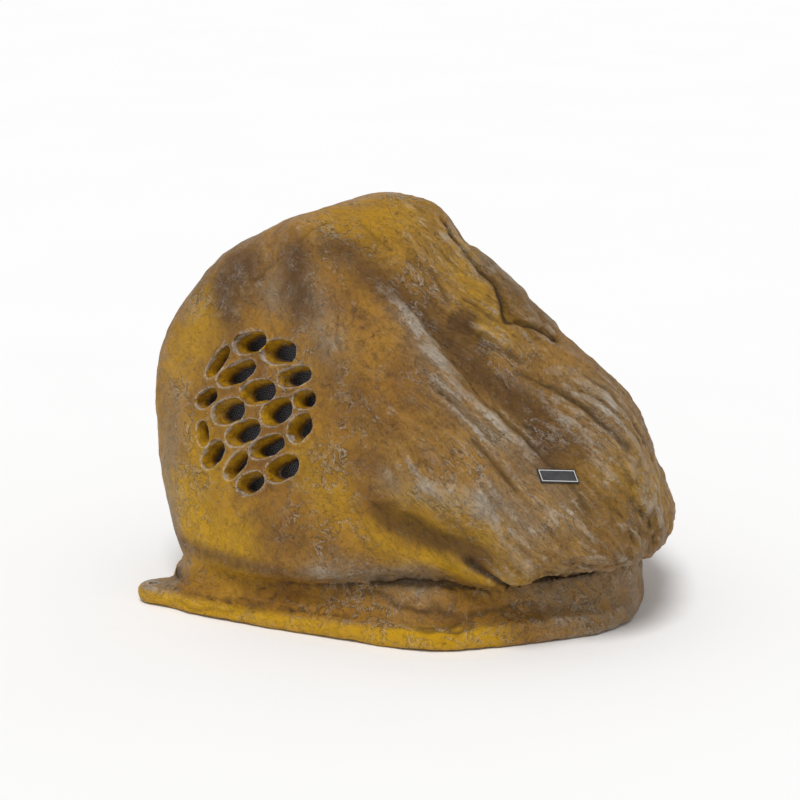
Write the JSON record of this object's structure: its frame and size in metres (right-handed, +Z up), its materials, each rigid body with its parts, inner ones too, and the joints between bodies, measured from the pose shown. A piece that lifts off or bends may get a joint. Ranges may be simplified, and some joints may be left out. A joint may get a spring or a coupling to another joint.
{
  "type": "garden speaker",
  "caption": "Outdoor loudspeaker in a moulded sandstone-boulder housing on a lipped plinth, with a lattice of irregular cells before its driver and a screw ear at the base.",
  "frame": {"origin": "middle of the bounding box at the height of the surface the lip stands on", "axes": "+Z up, the face with the cell lattice looks along -Y, the mounting ears are on the -X side"},
  "size_m": [0.4602, 0.3938, 0.3472],
  "materials": {
    "rock_resin": "moulded sandstone texture, ochre paint with brown washes and pale dry brushing",
    "badge_black": "satin black",
    "guard_black": "black perforated sheet",
    "rubber_black": "matt",
    "basket_black": "satin",
    "cone_paper": "pressed pulp",
    "spider_cloth": "resin-dipped cloth",
    "copper_winding": "enamelled copper",
    "plate_steel": "zinc plated",
    "ferrite": "fired ferrite, matt",
    "tag_board": "laminated board",
    "screw_steel": "zinc plated",
    "base_panel": "black moulded",
    "core_steel": "varnished sheets",
    "winding_tape": "yellow tape",
    "block_plastic": "black moulded",
    "clamp_brass": "plated brass",
    "gland_plastic": "black nylon",
    "lead_sleeve": "flexible insulation"
  },
  "bodies": {
    "root": {"rock_shell": "rock_resin", "badge_plate": "badge_black", "speaker_mesh": "guard_black", "mesh_gasket": "rubber_black", "driver_basket": "basket_black", "cone_surround": "rubber_black", "speaker_cone": "cone_paper", "whizzer_cone": "cone_paper", "dust_cap": "cone_paper", "spider": "spider_cloth", "voice_coil": "copper_winding", "front_plate": "plate_steel", "ring_magnet": "ferrite", "back_plate": "plate_steel", "terminal_strip": "tag_board", "driver_screws": "screw_steel", "base_plate": "base_panel", "base_gasket": "rubber_black", "base_screws": "screw_steel", "transformer_core": "core_steel", "transformer_winding": "winding_tape", "transformer_bracket": "plate_steel", "transformer_screws": "screw_steel", "terminal_block": "block_plastic", "terminal_clamps": "clamp_brass", "block_screws": "screw_steel", "gland_body": "gland_plastic", "gland_cap": "gland_plastic", "gland_seal": "rubber_black", "gland_washer": "rubber_black", "gland_locknut": "gland_plastic", "driver_leads": "lead_sleeve"}
  },
  "joints": []
}
